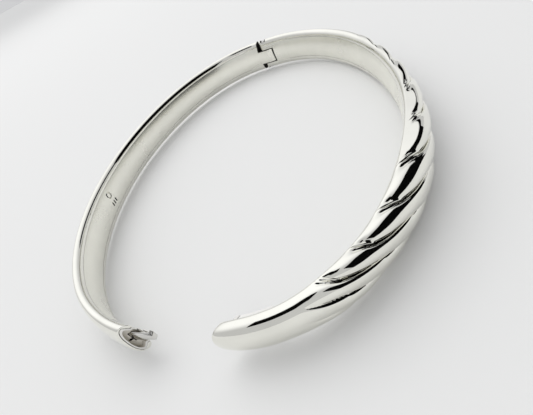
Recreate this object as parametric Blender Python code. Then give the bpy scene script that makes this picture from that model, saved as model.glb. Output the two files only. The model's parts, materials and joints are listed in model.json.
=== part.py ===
"""Hinged oval bangle bracelet, drawn lying flat with +Z up; lengths are in metres.

The bangle is two curved halves joined by a pinned hinge at +X and a tongue-and-socket clasp at -X.
Both halves follow one oval. A place on it is a distance along its inner line from the hinge axis:
positive round the plain half, negative round the twisted half. A cross-section is a list of
(outward, height) points: outward from that inner line, and height above the band's middle plane.
The halves are drawn closed, and the twisted half is then swung open about the hinge axis.
"""

import math

import bmesh
import bpy
import numpy as np
from mathutils import Vector

# The oval that the inner edges of both halves follow.
OVAL_HALF_LENGTH = 0.0285
OVAL_HALF_BREADTH = 0.0205
OVAL_END_FULLNESS = 0.0013
OVAL_SIDE_FLATNESS = 0.00075
HINGE_ANGLE = math.radians(-4.4)
CLASP_ANGLE = math.radians(173.2)
OPEN_ANGLE = math.radians(9.5)

# The hollow band: a pressed outer shell whose open side is closed by an inner plate.
GAP = 0.00008
WALL = 0.0003
PLATE_BACK = 0.00025
PLATE_BULGE = 0.00025
PLATE_SHARE = 0.65
LIP_DEPTH_SHARE = 0.115
CROWN_POWER = 2.3
PLAIN_WIDTH = 0.0057
PLAIN_END_WIDTH = 0.0046
PLAIN_TAPER = 0.0090
PLAIN_THICKNESS = 0.0014

# The twisted half swells from the hinge to its middle and tapers to the tip. Shares run along it.
TWIST_SHARES = (0.0, 0.10, 0.35, 0.66, 0.84, 0.94, 1.0)
TWIST_WIDTHS = (0.0057, 0.0057, 0.0062, 0.0071, 0.0052, 0.0041, 0.0038)
TWIST_THICKNESSES = (0.0014, 0.0014, 0.0020, 0.0029, 0.0022, 0.0018, 0.0017)
SIDE_FLAT_HEIGHT = 0.0033
TIP_ROUNDING = 0.0022
TIP_END_WIDTH_SCALE = 0.78
TIP_END_THICKNESS_SCALE = 0.80

# Grooves: their distances along the upper edge, and how many pitches one falls back over the outside.
GROOVE_PLACES = (0.0181, 0.0244, 0.0307, 0.0373, 0.0448, 0.0513,
                 0.0575, 0.0626, 0.0667, 0.0707, 0.0745, 0.0782)
GROOVE_TURN = 2.6
GROOVE_DEPTH = 0.0008
GROOVE_FADE_IN = (0.24, 0.38)
GROOVE_FADE_OUT = (0.86, 0.915)
LIP_TURN = 0.11

# Hinge: a fork on the twisted half holds the pin, and a tab on the plain half turns on it.
PIVOT_OUTWARD = 0.0005
KNUCKLE_RADIUS = 0.0009
KNUCKLE_END = math.radians(72)
PIN_RADIUS = 0.0004
PIN_CLEARANCE = 0.00005
PIN_HALF_LENGTH = 0.0027
TAB_BOTTOM = -0.00155
TAB_TOP = 0.00095
HINGE_SIDE_CLEARANCE = 0.0001
SHOULDER = 0.0018
NOTCH_END = 0.0016
TAB_REACH = 0.0014
BLOCK_END = 0.0044
TENON_END = 0.0068
TENON_OUTWARD = 0.0007
TENON_SCALE = (0.30, 0.50)

# Clasp: the halves meet on a slant, the plain half reaching further on its inner side, and the tongue
# on the plain half enters the socket in the twisted half's tip.
CLASP_GAP = 0.00015
END_SLANT = 0.0012
SLANT_REACH = 0.0060
END_RECESS = 0.0005
PLUG_LENGTH = 0.0026
PLUG_INNER = -0.0003
PLUG_OUTER = 0.00088
TONGUE_OUTWARD = 0.00025
TONGUE_REACH = 0.0020
TONGUE_ROOT = 0.0013
TONGUE_HALF_WIDTH = 0.0007
TONGUE_HALF_THICKNESS = 0.00014
FOLD_LENGTH = 0.00035
FOLD_TOP = 0.0004
LEAF_LENGTH = 0.00095
LEAF_THICKNESS = 0.00016
LEAF_HALF_WIDTH = 0.00045
LEAF_LOW = 0.00022
LEAF_RISE = 0.00020
VENT_OUTWARD = 0.00066
VENT_HEIGHT = -0.00020
VENT_RADIUS = 0.00016
SOCKET_LENGTH = 0.0046
SOCKET_INNER = -0.00055
SOCKET_SIDE = 0.00045
SOCKET_OUTER = 0.0010
SOCKET_HALF_WIDTH = 0.0011
SOCKET_TOP_HALF_WIDTH = 0.00085
CATCH_THICKNESS = 0.0004
MOUTH_CLEARANCE = 0.00012

# Mesh fineness.
LIP_STEPS = 3
CROWN_STEPS = 12
PLATE_STEPS = 6
PLAIN_STATIONS = 44
TWIST_STATIONS = 100
ROUND_SIDES = 24

# Material colours: polished silver-white plated metal.
SHELL_COLOUR = (0.86, 0.86, 0.85, 1.0)
PLATE_COLOUR = (0.78, 0.77, 0.75, 1.0)
FITTING_COLOUR = (0.80, 0.80, 0.79, 1.0)
STEEL_COLOUR = (0.62, 0.62, 0.62, 1.0)


# The oval and places on it.

def smooth_step(value, start, end):
    """0 before start, 1 after end and a smooth rise between them."""
    share = min(1.0, max(0.0, (value - start) / (end - start)))
    return share * share * (3.0 - 2.0 * share)


def oval_points(angle):
    """Points on the oval's inner line, from its angles about the centre."""
    across = OVAL_HALF_LENGTH * np.cos(angle) + OVAL_END_FULLNESS * np.cos(3 * angle)
    along = OVAL_HALF_BREADTH * np.sin(angle) + OVAL_SIDE_FLATNESS * np.sin(3 * angle)
    return np.stack([across, along], axis=-1)


ROUTE_ANGLES = np.linspace(CLASP_ANGLE - 2 * math.pi - 0.2, CLASP_ANGLE + 0.2, 6001)
ROUTE_STEPS = np.linalg.norm(np.diff(oval_points(ROUTE_ANGLES), axis=0), axis=1)
ROUTE_LENGTHS = np.concatenate([[0.0], np.cumsum(ROUTE_STEPS)])
ROUTE_LENGTHS -= np.interp(HINGE_ANGLE, ROUTE_ANGLES, ROUTE_LENGTHS)
PLAIN_LENGTH = float(np.interp(CLASP_ANGLE, ROUTE_ANGLES, ROUTE_LENGTHS))
TWIST_LENGTH = -float(np.interp(CLASP_ANGLE - 2 * math.pi, ROUTE_ANGLES, ROUTE_LENGTHS)) - CLASP_GAP


def place_on_band(distance):
    """The point at a distance along the oval, the outward normal there and the tangent."""
    angle = float(np.interp(distance, ROUTE_LENGTHS, ROUTE_ANGLES))
    before, here, after = oval_points(np.array([angle - 1e-4, angle, angle + 1e-4]))
    tangent = Vector((*(after - before), 0.0)).normalized()
    outward = Vector((tangent.y, -tangent.x, 0.0))
    return Vector((*here, 0.0)), outward, tangent


def end_shift(distance, outward):
    """How far a place near the clasp moves along the band, so that the halves meet on a slant."""
    from_clasp = abs(PLAIN_LENGTH - distance if distance > 0.0 else TWIST_LENGTH + distance)
    fade = 1.0 - smooth_step(from_clasp, 0.0005, SLANT_REACH)
    return END_SLANT * fade * (0.5 - outward / PLAIN_THICKNESS)


def band_point(distance, outward, height):
    """A point in the closed bangle from its distance along the band, outward offset and height."""
    here, normal, _ = place_on_band(distance + end_shift(distance, outward))
    return here + normal * outward + Vector((0.0, 0.0, height))


PIVOT = band_point(0.0, PIVOT_OUTWARD, 0.0)
CLASP_POINT = band_point(PLAIN_LENGTH, TONGUE_OUTWARD, 0.0)
CLASP_RADIUS = (CLASP_POINT - PIVOT).normalized()
TONGUE_SIDE = CLASP_RADIUS
TONGUE_DIRECTION = Vector((-CLASP_RADIUS.y, CLASP_RADIUS.x, 0.0))


def clasp_point(along, outward, height):
    """A point on the clasp's own axes: along the tongue from the end of the plain half."""
    return CLASP_POINT + TONGUE_DIRECTION * along + TONGUE_SIDE * outward + Vector((0.0, 0.0, height))


# Sizes that change along the halves.

def plain_width(distance):
    """Width of the plain half, which narrows towards the clasp."""
    narrow = smooth_step(distance, PLAIN_LENGTH - PLAIN_TAPER, PLAIN_LENGTH)
    return PLAIN_WIDTH + (PLAIN_END_WIDTH - PLAIN_WIDTH) * narrow


def profile_value(share, values):
    """A smooth curve through a size given at TWIST_SHARES."""
    last = len(TWIST_SHARES) - 2
    piece = min(last, max(0, int(np.searchsorted(TWIST_SHARES, share)) - 1))
    return values[piece] + (values[piece + 1] - values[piece]) * smooth_step(
        share, TWIST_SHARES[piece], TWIST_SHARES[piece + 1])


def twist_size(distance):
    """Width and thickness of the twisted half at a distance from the hinge axis."""
    share = abs(distance) / TWIST_LENGTH
    return profile_value(share, TWIST_WIDTHS), profile_value(share, TWIST_THICKNESSES)


def tip_scales(distance):
    """How much the width and the thickness shrink where the tip rounds over."""
    into_tip = min(1.0, max(0.0, (abs(distance) - TWIST_LENGTH + TIP_ROUNDING) / TIP_ROUNDING))
    turned = 1.0 - math.sqrt(1.0 - into_tip ** 2)
    return 1.0 - (1.0 - TIP_END_WIDTH_SCALE) * turned, 1.0 - (1.0 - TIP_END_THICKNESS_SCALE) * turned


def groove_cut(distance, turn):
    """Depth of the twist below the smooth surface; turn runs 0 to 1 over the outside, top to bottom."""
    share = abs(distance) / TWIST_LENGTH
    fade = smooth_step(share, *GROOVE_FADE_IN) * (1.0 - smooth_step(share, *GROOVE_FADE_OUT))
    edge = smooth_step(min(turn, 1.0 - turn), 0.02, 0.13)
    phase = float(np.interp(abs(distance), GROOVE_PLACES, range(len(GROOVE_PLACES)))) + GROOVE_TURN * turn
    across_lobe = 2.0 * (phase % 1.0) - 1.0
    lobe = math.sqrt(max(0.0, 1.0 - across_lobe ** 2))
    return GROOVE_DEPTH * fade * edge * (1.0 - lobe)


# Cross-sections of the band.

def plate_half(width):
    """Half the width of the inner plate in a band of this width."""
    return PLATE_SHARE * width / 2


def crown(half_width, thickness, lip_depth):
    """The domed outside from the upper side to the lower side."""
    points = []
    for step in range(CROWN_STEPS + 1):
        angle = math.pi * step / CROWN_STEPS
        rise = abs(math.sin(angle)) ** (2 / CROWN_POWER)
        reach = math.copysign(abs(math.cos(angle)) ** (2 / CROWN_POWER), math.cos(angle))
        points.append((lip_depth + (thickness - lip_depth) * rise, half_width * reach))
    return points


def outside(width, thickness):
    """The outer outline from the upper lip over the crown to the lower lip."""
    lip_depth = LIP_DEPTH_SHARE * width
    edge = plate_half(width) + GAP
    lip = []
    for step in range(LIP_STEPS):
        angle = math.pi / 2 * step / LIP_STEPS
        lip.append((lip_depth * (1.0 - math.cos(angle)), edge + (width / 2 - edge) * math.sin(angle)))
    lower_lip = [(outward, -height) for outward, height in reversed(lip)]
    return lip + crown(width / 2, thickness, lip_depth) + lower_lip


def inside(width, thickness, edge):
    """The inner wall of the shell from the lower lip, at the edge's height, back to the upper one."""
    lip_depth = LIP_DEPTH_SHARE * width
    wall = crown(width / 2 - WALL, thickness - WALL, lip_depth + WALL / 3)
    return [(WALL, -edge)] + wall[::-1] + [(WALL, edge)]


def outside_turn(index):
    """How far round the outside a point of the outer outline lies, from 0 at its first to 1 at its last."""
    last = 2 * LIP_STEPS + CROWN_STEPS
    if index < LIP_STEPS:
        return LIP_TURN * index / LIP_STEPS
    if index > LIP_STEPS + CROWN_STEPS:
        return 1.0 - LIP_TURN * (last - index) / LIP_STEPS
    return LIP_TURN + (1.0 - 2.0 * LIP_TURN) * (index - LIP_STEPS) / CROWN_STEPS


def plain_shell_section(distance):
    """The plain half's U-shaped wall."""
    width = plain_width(distance)
    outline = outside(width, PLAIN_THICKNESS)
    return outline + inside(width, PLAIN_THICKNESS, outline[0][1])


def twist_shell_section(distance):
    """The twisted half's U-shaped wall, with its grooves, flat sides and rounded tip."""
    width, thickness = twist_size(distance)
    width_scale, thickness_scale = tip_scales(distance)
    width *= width_scale
    thickness *= thickness_scale
    deepest = max(groove_cut(distance, step / 20) for step in range(21))
    outline = outside(width, thickness)
    middle = thickness / 3
    cut_outline = []
    for index, (outward, height) in enumerate(outline):
        away = math.hypot(outward - middle, height)
        keep = 1.0 - groove_cut(distance, outside_turn(index)) / away
        high = max(-SIDE_FLAT_HEIGHT, min(SIDE_FLAT_HEIGHT, height * keep))
        cut_outline.append((middle + (outward - middle) * keep, high))
    return cut_outline + inside(width - 2 * deepest, thickness - deepest, outline[0][1])


def plate_section(width):
    """The inner plate: a bulging face towards the wrist and a flat back."""
    half = plate_half(width)
    points = []
    for step in range(PLATE_STEPS + 1):
        share = 1.0 - 2.0 * step / PLATE_STEPS
        points.append((-PLATE_BULGE * (1.0 - share ** 2), half * share))
    return points + [(PLATE_BACK, -half), (PLATE_BACK, half)]


def solid_section(width, thickness):
    """The whole outline of the band, for the solid end blocks of the hinge."""
    outline = outside(width, thickness)
    edge = outline[0][1]
    face = []
    for step in range(1, PLATE_STEPS):
        share = 2.0 * step / PLATE_STEPS - 1.0
        face.append((-PLATE_BULGE * (1.0 - share ** 2), edge * share))
    return outline + face


def box_section(inner, outer, half_width):
    """A rectangle across the band."""
    return [(inner, half_width), (outer, half_width), (outer, -half_width), (inner, -half_width)]


# Materials, objects and modifiers.

def metal(name, colour, roughness):
    """A plain metal material."""
    material = bpy.data.materials.new(name)
    material.use_nodes = True
    shader = material.node_tree.nodes["Principled BSDF"]
    shader.inputs["Base Color"].default_value = colour
    shader.inputs["Metallic"].default_value = 1.0
    shader.inputs["Roughness"].default_value = roughness
    material.diffuse_color = colour
    return material


def add_frame(name, location, parent):
    """An empty that carries the pieces of one body; its origin is on that body's joint axis."""
    empty = bpy.data.objects.new(name, None)
    empty.empty_display_size = 0.003
    empty.location = location - Vector(parent["place"]) if parent else location
    empty["place"] = location
    empty.parent = parent
    bpy.context.collection.objects.link(empty)
    return empty


def add_piece(name, points, faces, frame, material):
    """A closed mesh whose points are places in the closed bangle, carried by a frame."""
    mesh = bpy.data.meshes.new(name)
    place = Vector(frame["place"])
    mesh.from_pydata([point - place for point in points], [], faces)
    shape = bmesh.new()
    shape.from_mesh(mesh)
    bmesh.ops.recalc_face_normals(shape, faces=shape.faces)
    shape.to_mesh(mesh)
    shape.free()
    mesh.shade_smooth()
    mesh.set_sharp_from_angle(angle=math.radians(30))
    piece = bpy.data.objects.new(name, mesh)
    piece.parent = frame
    if material:
        mesh.materials.append(material)
    bpy.context.collection.objects.link(piece)
    return piece


def add_skin(name, rings, frame, material):
    """A closed body from a row of loops with the same number of points."""
    count = len(rings[0])
    faces = []
    for ring in range(len(rings) - 1):
        low = ring * count
        for point in range(count):
            after = (point + 1) % count
            faces.append((low + point, low + after, low + count + after, low + count + point))
    faces.append(tuple(range(count)))
    faces.append(tuple(range((len(rings) - 1) * count, len(rings) * count)))
    return add_piece(name, [point for ring in rings for point in ring], faces, frame, material)


def add_swept(name, stations, section_at, frame, material):
    """A body swept along the band; section_at gives the cross-section at each distance."""
    rings = []
    for distance in stations:
        rings.append([band_point(distance, *point) for point in section_at(distance)])
    return add_skin(name, rings, frame, material)


def add_prism(name, outline, low, high, frame, material):
    """An outline on the clasp's (along, outward) axes, raised from one height to another."""
    rings = [[clasp_point(*point, height) for point in outline] for height in (low, high)]
    return add_skin(name, rings, frame, material)


def add_rod(name, centre, axis, radius, half_length, frame, material):
    """A round bar about an axis."""
    side = axis.orthogonal().normalized()
    other = axis.cross(side)
    rings = []
    for end in (-half_length, half_length):
        ring = []
        for step in range(ROUND_SIDES):
            angle = 2 * math.pi * step / ROUND_SIDES
            spoke = side * math.cos(angle) + other * math.sin(angle)
            ring.append(centre + axis * end + spoke * radius)
        rings.append(ring)
    return add_skin(name, rings, frame, material)


def cut(piece, cutter):
    """Takes the cutter's shape out of the piece."""
    cutter.hide_render = True
    cutter.display_type = "WIRE"
    boolean = piece.modifiers.new("cut by " + cutter.name, "BOOLEAN")
    boolean.operation = "DIFFERENCE"
    boolean.solver = "EXACT"
    boolean.object = cutter


# The band's four main pieces.

def add_plain_band(frame):
    """Outer shell and inner plate of the plain half."""
    start = BLOCK_END + GAP
    shell_stations = np.linspace(start, PLAIN_LENGTH, PLAIN_STATIONS)
    add_swept("plain_outer_shell", shell_stations, plain_shell_section, frame,
              metal("plain_outer_shell", SHELL_COLOUR, 0.08))
    plate_end = PLAIN_LENGTH - END_RECESS - PLUG_LENGTH - GAP
    plate_stations = np.linspace(start, plate_end, PLAIN_STATIONS)
    add_swept("plain_inner_plate", plate_stations, lambda distance: plate_section(plain_width(distance)),
              frame, metal("plain_inner_plate", PLATE_COLOUR, 0.22))


def add_twisted_band(frame):
    """Outer shell and inner plate of the twisted half."""
    start = BLOCK_END + GAP
    tip_start = TWIST_LENGTH - TIP_ROUNDING
    body = np.linspace(start, tip_start, TWIST_STATIONS)
    tip = [tip_start + TIP_ROUNDING * math.sin(math.pi / 2 * step / 5) for step in range(1, 6)]
    stations = [-distance for distance in (*body, *tip)]
    add_swept("twisted_outer_shell", stations, twist_shell_section, frame,
              metal("twisted_outer_shell", SHELL_COLOUR, 0.06))
    plate_end = TWIST_LENGTH - END_RECESS - SOCKET_LENGTH - GAP
    plate_stations = [-distance for distance in np.linspace(start, plate_end, PLAIN_STATIONS)]
    add_swept("twisted_inner_plate", plate_stations,
              lambda distance: plate_section(twist_size(distance)[0]), frame,
              metal("twisted_inner_plate", PLATE_COLOUR, 0.22))


# The hinge.

def knuckle_stations(direction, reach):
    """Distances from the rounded end past the pivot to the band, for a block and its tenon."""
    stations = []
    for step in range(5):
        angle = KNUCKLE_END * (1.0 - step / 4)
        stations.append(-direction * reach * math.sin(angle))
    return stations + [direction * SHOULDER, direction * BLOCK_END]


def knuckle_section(distance, direction, reach):
    """The band's outline, thinned about the pivot where the knuckle rounds over."""
    section = solid_section(PLAIN_WIDTH, PLAIN_THICKNESS)
    past = max(0.0, -direction * distance) / reach
    thin = math.sqrt(1.0 - past ** 2)
    return [(PIVOT_OUTWARD + (outward - PIVOT_OUTWARD) * thin, height) for outward, height in section]


def tenon_section():
    """The smaller outline that plugs into the hollow band."""
    section = solid_section(PLAIN_WIDTH, PLAIN_THICKNESS)
    return [(TENON_OUTWARD + (outward - PIVOT_OUTWARD) * TENON_SCALE[0], height * TENON_SCALE[1])
            for outward, height in section]


def add_hinge_block(name, direction, reach, frame):
    """A solid block with the band's outline, a rounded end reaching past the pivot and a tenon."""
    rings = []
    for distance in knuckle_stations(direction, reach):
        section = knuckle_section(distance, direction, reach)
        rings.append([band_point(distance, *point) for point in section])
    for distance in (BLOCK_END, TENON_END):
        rings.append([band_point(direction * distance, *point) for point in tenon_section()])
    return add_skin(name, rings, frame, metal(name, FITTING_COLOUR, 0.12))


def add_band_box(name, start, end, low, high, frame):
    """A box cutter across the whole band between two distances and two heights."""
    reach = 2 * PLAIN_THICKNESS
    section = [(-reach, high), (reach + PLAIN_THICKNESS, high), (reach + PLAIN_THICKNESS, low), (-reach, low)]
    return add_swept(name, (start, end), lambda _distance: section, frame, None)


def add_hinge(plain_frame, twist_frame):
    """The tab, the fork and the pin."""
    beyond = 2 * KNUCKLE_RADIUS
    wide = PLAIN_WIDTH
    tab = add_hinge_block("hinge_tab", 1, TAB_REACH, plain_frame)
    cut(tab, add_band_box("tab_relief_upper", -beyond, SHOULDER, TAB_TOP, wide, plain_frame))
    cut(tab, add_band_box("tab_relief_lower", -beyond, SHOULDER, -wide, TAB_BOTTOM, plain_frame))
    axis = Vector((0.0, 0.0, 1.0))
    bore = PIN_RADIUS + PIN_CLEARANCE
    cut(tab, add_rod("tab_bore", PIVOT, axis, bore, wide, plain_frame, None))
    fork = add_hinge_block("hinge_fork", -1, KNUCKLE_RADIUS, twist_frame)
    notch_low = TAB_BOTTOM - HINGE_SIDE_CLEARANCE
    notch_high = TAB_TOP + HINGE_SIDE_CLEARANCE
    cut(fork, add_band_box("fork_notch", -NOTCH_END, beyond, notch_low, notch_high, twist_frame))
    cut(fork, add_rod("fork_bore", PIVOT, axis, bore, wide, twist_frame, None))
    add_rod("hinge_pin", PIVOT, axis, PIN_RADIUS, PIN_HALF_LENGTH, twist_frame,
            metal("hinge_pin", STEEL_COLOUR, 0.2))


# The clasp.

def add_tongue(frame):
    """The tongue: a flat strip whose front end is folded back on its inner side."""
    bottom = -TONGUE_HALF_THICKNESS
    top = TONGUE_HALF_THICKNESS
    fold_start = TONGUE_REACH - FOLD_LENGTH
    nose = 0.0001
    outline = [(-TONGUE_ROOT, top), (TONGUE_REACH - nose, top), (TONGUE_REACH, top - nose),
               (TONGUE_REACH, nose - FOLD_TOP), (TONGUE_REACH - nose, -FOLD_TOP),
               (fold_start, -FOLD_TOP), (fold_start, bottom), (-TONGUE_ROOT, bottom)]
    add_prism("clasp_tongue", outline, -TONGUE_HALF_WIDTH, TONGUE_HALF_WIDTH, frame,
              metal("clasp_tongue", STEEL_COLOUR, 0.15))


def add_leaf(frame):
    """The spring leaf on the tongue's inner side, standing further off towards its free end."""
    root = TONGUE_REACH - FOLD_LENGTH - GAP
    free = root - LEAF_LENGTH
    outline = [(root, -LEAF_LOW), (root, -LEAF_LOW - LEAF_THICKNESS),
               (free, -LEAF_LOW - LEAF_RISE - LEAF_THICKNESS), (free, -LEAF_LOW - LEAF_RISE)]
    add_prism("clasp_spring_leaf", outline, -LEAF_HALF_WIDTH, LEAF_HALF_WIDTH, frame,
              metal("clasp_spring_leaf", STEEL_COLOUR, 0.15))


def leaf_root():
    """The point on the leaf's bending axis, at the fold."""
    return clasp_point(TONGUE_REACH - FOLD_LENGTH - GAP, -LEAF_LOW - LEAF_THICKNESS / 2, 0.0)


def add_end_plug(frame):
    """The recessed block that closes the plain half and holds the tongue's root."""
    end = PLAIN_LENGTH - END_RECESS
    plug = add_swept("clasp_end_plug", np.linspace(end - PLUG_LENGTH, end, 4),
                     lambda distance: box_section(PLUG_INNER, PLUG_OUTER, plate_half(plain_width(distance))),
                     frame, metal("clasp_end_plug", FITTING_COLOUR, 0.35))
    slot = TONGUE_HALF_THICKNESS + GAP
    outline = [(-TONGUE_ROOT - GAP, -slot), (TONGUE_ROOT, -slot),
               (TONGUE_ROOT, slot), (-TONGUE_ROOT - GAP, slot)]
    half_width = TONGUE_HALF_WIDTH + GAP
    cut(plug, add_prism("plug_slot", outline, -half_width, half_width, frame, None))
    vent = band_point(end, VENT_OUTWARD, VENT_HEIGHT)
    cut(plug, add_rod("plug_vent", vent, TONGUE_DIRECTION, VENT_RADIUS, END_RECESS, frame, None))


def socket_section(_distance):
    """The six-sided outline that fills the open side of the tip."""
    return [(SOCKET_INNER, SOCKET_HALF_WIDTH), (SOCKET_SIDE, SOCKET_HALF_WIDTH),
            (SOCKET_OUTER, SOCKET_TOP_HALF_WIDTH), (SOCKET_OUTER, -SOCKET_TOP_HALF_WIDTH),
            (SOCKET_SIDE, -SOCKET_HALF_WIDTH), (SOCKET_INNER, -SOCKET_HALF_WIDTH)]


def add_mouth(name, start, end, clearance, frame):
    """A cutter that clears the tongue and its leaf, wider at the tongue."""
    outer = TONGUE_HALF_THICKNESS + clearance
    shoulder = -TONGUE_HALF_THICKNESS - clearance
    inner = -LEAF_LOW - LEAF_RISE - LEAF_THICKNESS - clearance
    wide = TONGUE_HALF_WIDTH + clearance
    narrow = LEAF_HALF_WIDTH + clearance
    section = [(outer, wide), (shoulder, wide), (inner, narrow),
               (inner, -narrow), (shoulder, -wide), (outer, -wide)]
    rings = [[clasp_point(along, *point) for point in section] for along in (start, end)]
    return add_skin(name, rings, frame, None)


def add_socket(frame):
    """The box in the tip and the catch plate at its mouth."""
    mouth_end = TWIST_LENGTH - END_RECESS
    catch_end = mouth_end - CATCH_THICKNESS
    beyond = 2 * END_RECESS
    catch = add_swept("socket_catch", (-catch_end, -mouth_end), socket_section, frame,
                      metal("socket_catch", STEEL_COLOUR, 0.25))
    cut(catch, add_mouth("catch_mouth", -beyond, 3 * beyond, MOUTH_CLEARANCE, frame))
    stations = -np.linspace(catch_end - GAP, mouth_end - SOCKET_LENGTH, 5)
    box = add_swept("socket_box", stations, socket_section, frame,
                    metal("socket_box", FITTING_COLOUR, 0.3))
    deep = TONGUE_REACH + 2 * MOUTH_CLEARANCE
    cut(box, add_mouth("box_mouth", 0.0, deep, MOUTH_CLEARANCE, frame))


# The whole bangle.

def stand_on_origin(root):
    """Moves everything so that the bounding box stands centred on the origin."""
    bpy.context.view_layer.update()
    graph = bpy.context.evaluated_depsgraph_get()
    points = []
    for piece in bpy.data.objects:
        if piece.type == "MESH" and not piece.hide_render:
            mesh = piece.evaluated_get(graph).data
            points += [piece.matrix_world @ vertex.co for vertex in mesh.vertices]
    low = np.min(points, axis=0)
    high = np.max(points, axis=0)
    root.location = (-(low[0] + high[0]) / 2, -(low[1] + high[1]) / 2, -low[2])
    bpy.context.view_layer.update()


def main():
    """Builds the bangle with its clasp open."""
    for piece in list(bpy.data.objects):
        bpy.data.objects.remove(piece, do_unlink=True)
    root = add_frame("bangle_frame", Vector(), None)
    plain_frame = add_frame("plain_half_frame", Vector(), root)
    twist_frame = add_frame("twisted_half_pivot", PIVOT, root)
    leaf_frame = add_frame("leaf_pivot", leaf_root(), plain_frame)
    add_plain_band(plain_frame)
    add_twisted_band(twist_frame)
    add_hinge(plain_frame, twist_frame)
    add_end_plug(plain_frame)
    add_tongue(plain_frame)
    add_leaf(leaf_frame)
    add_socket(twist_frame)
    twist_frame.rotation_euler.z = OPEN_ANGLE
    stand_on_origin(root)


main()
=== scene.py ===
"""Looks of the hinged oval bangle: fine polished shells, plates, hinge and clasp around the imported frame.

Lengths are in metres. Both halves follow one oval. A place on it is a distance along its inner line from
the hinge axis: positive round the plain half, negative round the twisted half. A cross-section is given
by outward offsets from that line and heights above the band's middle plane. The halves are drawn closed
and then put where the frame has them, the twisted half swung open about the hinge axis.
"""

import json
import math

import bmesh
import bpy
import numpy as np
from mathutils import Matrix, Vector


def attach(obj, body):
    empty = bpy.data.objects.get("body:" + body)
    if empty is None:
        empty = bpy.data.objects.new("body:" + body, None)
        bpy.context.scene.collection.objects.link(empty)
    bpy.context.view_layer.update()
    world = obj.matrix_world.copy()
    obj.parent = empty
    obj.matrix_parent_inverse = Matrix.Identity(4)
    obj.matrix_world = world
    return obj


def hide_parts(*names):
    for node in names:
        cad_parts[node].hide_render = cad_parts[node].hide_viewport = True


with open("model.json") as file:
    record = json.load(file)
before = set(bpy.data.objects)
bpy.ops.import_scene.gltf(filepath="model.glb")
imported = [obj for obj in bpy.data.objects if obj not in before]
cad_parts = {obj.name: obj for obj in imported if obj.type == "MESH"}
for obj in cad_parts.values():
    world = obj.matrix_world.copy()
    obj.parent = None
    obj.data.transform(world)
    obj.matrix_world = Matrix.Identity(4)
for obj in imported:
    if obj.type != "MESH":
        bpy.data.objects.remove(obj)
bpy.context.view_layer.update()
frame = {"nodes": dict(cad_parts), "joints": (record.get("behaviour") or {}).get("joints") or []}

# The oval that the inner edges of both halves follow, as in the CAD model.
OVAL_HALF_LENGTH = 0.0285
OVAL_HALF_BREADTH = 0.0205
OVAL_END_FULLNESS = 0.0013
OVAL_SIDE_FLATNESS = 0.00075
HINGE_ANGLE = math.radians(-4.4)
CLASP_ANGLE = math.radians(173.2)
OPEN_ANGLE = math.radians(9.5)
ROUTE_MARGIN = 0.2
ROUTE_COUNT = 6001
TANGENT_STEP = 1e-4

# The band's cross-section.
GAP = 0.00004
WALL = 0.0002
PLATE_BACK = 0.00025
PLATE_BULGE = 0.00025
PLATE_SHARE = 0.65
LIP_DEPTH_SHARE = 0.115
CROWN_POWER = 2.3
PLAIN_WIDTH = 0.0057
PLAIN_END_WIDTH = 0.0046
PLAIN_TAPER = 0.0090
PLAIN_THICKNESS = 0.0014

# The twisted half: shares of its length with the width and the thickness there.
TWIST_SHARES = (0.0, 0.10, 0.35, 0.66, 0.84, 0.94, 1.0)
TWIST_WIDTHS = (0.0057, 0.0057, 0.0062, 0.0071, 0.0052, 0.0041, 0.0038)
TWIST_THICKNESSES = (0.0014, 0.0014, 0.0020, 0.0029, 0.0022, 0.0018, 0.0017)
SIDE_FLAT_HEIGHT = 0.0033
CLASP_GAP = 0.00015
TIP_ROUNDING = 0.0022
TIP_END_WIDTH_SCALE = 0.78
TIP_END_THICKNESS_SCALE = 0.80

# Grooves. Turns run from 0 at the upper edge over the outside to 1 at the lower edge, and a pitch is the
# step from one groove to the next. GROOVE_PLACES are the grooves' distances at turn 0. Over the outside a
# groove falls back towards the hinge by GROOVE_TURN pitches, and by GROOVE_LEAN more between the turns of
# GROOVE_LEANING. It loses the share GROOVE_SHALLOW of its depth between the turns of SHALLOWING.
GROOVE_PLACES = (0.0181, 0.0244, 0.0307, 0.0373, 0.0448, 0.0513,
                 0.0575, 0.0626, 0.0667, 0.0707, 0.0745, 0.0782)
GROOVE_TURN = 2.2
GROOVE_LEAN = 1.4
GROOVE_LEANING = (0.25, 0.85)
GROOVE_DEPTH = 0.0010
GROOVE_SHALLOW = 0.5
SHALLOWING = (0.25, 0.50)
LOBE_POWER = 2.4

# The grooves fade in and out along the half, as shares of its length, and beside both lips, as turns. A lip
# takes up LIP_TURN of the way round.
GROOVE_FADE_IN = (0.24, 0.38)
GROOVE_FADE_OUT = (0.86, 0.915)
GROOVE_EDGE = (0.07, 0.14)
LIP_TURN = 0.11

# A slim ridge runs in each groove. Half its width is a share of a pitch: RIDGE_SHARE at the upper lip,
# narrowing to RIDGE_LEAST at the turn RIDGE_END, where its height has gone too.
RIDGE_SHARE = 0.11
RIDGE_LEAST = 0.01
RIDGE_HEIGHT = 0.00050
RIDGE_END = 0.34

# The grooves' places with some spare pitches before and after them, and the grooves counted from the first.
SPARE_BEFORE = 3
SPARE_AFTER = 5
PITCH_BEFORE = 0.0063
PITCH_AFTER = 0.0037
LONG_PLACES = (GROOVE_PLACES[0] - SPARE_BEFORE * PITCH_BEFORE, *GROOVE_PLACES,
               GROOVE_PLACES[-1] + SPARE_AFTER * PITCH_AFTER)
LONG_PHASES = (-SPARE_BEFORE, *range(len(GROOVE_PLACES)), len(GROOVE_PLACES) - 1 + SPARE_AFTER)

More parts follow.
